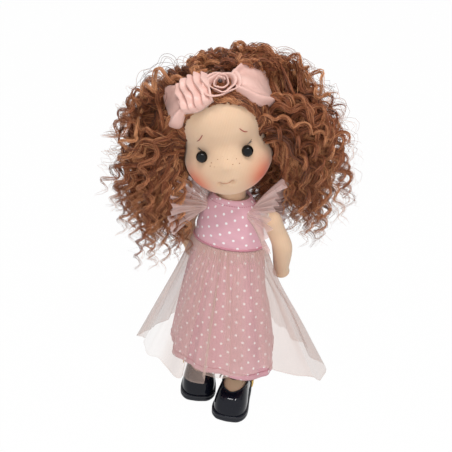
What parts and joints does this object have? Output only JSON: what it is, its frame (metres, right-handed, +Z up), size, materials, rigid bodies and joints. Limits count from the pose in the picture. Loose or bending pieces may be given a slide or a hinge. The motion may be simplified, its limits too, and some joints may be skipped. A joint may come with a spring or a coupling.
{
  "type": "waldorf doll",
  "caption": "Soft standing cloth doll with curly hair, satin headband, dotted dress under a tulle overskirt and buckled strap shoes.",
  "frame": {"origin": "on the floor, under the middle of the whole doll's outline", "axes": "+Z up through the head; the doll faces -Y; its own left side is +X"},
  "size_m": [0.1804, 0.12, 0.2907],
  "materials": {
    "skin": "fine brushed cotton jersey, matte",
    "hair": "curly mohair locks, soft sheen",
    "eye": "glossy black",
    "dress_cotton": "printed cotton with small white dots, matte",
    "tulle": "fine sheer net",
    "satin": "satin sheen",
    "elastic": "woven elastic, matte",
    "bead": "glossy dark bead",
    "snap": "smooth",
    "joint_thread": "waxed thread and buttons",
    "patent": "patent gloss",
    "sole_rubber": "satin",
    "buckle_metal": "polished gold colour"
  },
  "bodies": {
    "torso": {"torso": "skin", "dress_bodice": "dress_cotton", "neckline_binding": "dress_cotton", "waist_piping": "dress_cotton", "lining_skirt": "dress_cotton", "tulle_skirt": "tulle", "shoulder_thread": "joint_thread", "back_placket": "dress_cotton", "snap_button_1": "snap", "snap_button_2": "snap", "snap_button_3": "snap", "left_ruffle": "tulle", "right_ruffle": "tulle"},
    "neck": {"neck": "skin"},
    "head": {"head": "skin", "left_eye": "eye", "left_ear": "skin", "right_eye": "eye", "right_ear": "skin", "headband_elastic": "elastic", "headband_right_petal": "satin", "headband_pleats": "satin", "headband_rosette": "satin", "headband_left_petal": "satin", "rosette_bead": "bead", "hair_crown": "hair", "hair_left": "hair", "hair_right": "hair", "hair_back": "hair"},
    "left_arm": {"left_arm": "skin", "left_shoulder_button": "joint_thread"},
    "right_arm": {"right_arm": "skin", "right_shoulder_button": "joint_thread"},
    "left_leg": {"left_leg": "skin", "left_shoe_sole": "sole_rubber", "left_shoe_upper": "patent"},
    "right_leg": {"right_leg": "skin", "right_shoe_sole": "sole_rubber", "right_shoe_upper": "patent"},
    "left_strap": {"left_shoe_strap": "patent", "left_shoe_buckle": "buckle_metal", "left_shoe_prong": "buckle_metal"},
    "right_strap": {"right_shoe_strap": "patent", "right_shoe_buckle": "buckle_metal", "right_shoe_prong": "buckle_metal"}
  },
  "joints": [
    {"name": "head_turn", "type": "hinge", "parent": "torso", "child": "neck", "pos_m": [0.0036, -0.00511, 0.188], "axis": [0, 0, 1], "range_deg": [-46, 14], "deforming": ["hair_left", "hair_right", "hair_back"]},
    {"name": "head_tilt", "type": "hinge", "parent": "neck", "child": "head", "pos_m": [0.0036, -0.00511, 0.188], "axis": [-0.309, 0.9511, 0], "range_deg": [-4, 30], "deforming": ["hair_left", "hair_right", "hair_back"]},
    {"name": "left_shoulder", "type": "hinge", "parent": "torso", "child": "left_arm", "pos_m": [0.033, -0.00511, 0.165], "axis": [-1, 0, 0], "range_deg": [-12, 150], "deforming": ["left_ruffle"]},
    {"name": "right_shoulder", "type": "hinge", "parent": "torso", "child": "right_arm", "pos_m": [-0.0258, -0.00511, 0.165], "axis": [-1, 0, 0], "range_deg": [-12, 150], "deforming": ["right_ruffle"]},
    {"name": "right_hip", "type": "hinge", "parent": "torso", "child": "right_leg", "pos_m": [0.0036, -0.00511, 0.112], "axis": [-1, 0, 0], "range_deg": [-15, 76], "deforming": ["lining_skirt", "tulle_skirt"]},
    {"name": "left_hip", "type": "hinge", "parent": "torso", "child": "left_leg", "pos_m": [0.0036, -0.00511, 0.112], "axis": [-1, 0, 0], "range_deg": [-15, 76], "deforming": ["lining_skirt", "tulle_skirt"]},
    {"name": "left_strap_hinge", "type": "hinge", "parent": "left_leg", "child": "left_strap", "pos_m": [0.00959, -0.01623, 0.01864], "axis": [0.1066, -0.7586, -0.6428], "range_deg": [0, 80]},
    {"name": "right_strap_hinge", "type": "hinge", "parent": "right_leg", "child": "right_strap", "pos_m": [-0.00206, 0.00179, 0.01864], "axis": [-0.2367, 0.7286, 0.6428], "range_deg": [0, 80]}
  ],
  "couplings": [
    {"joint": "left_hip", "follows": "right_hip", "ratio": 1}
  ]
}
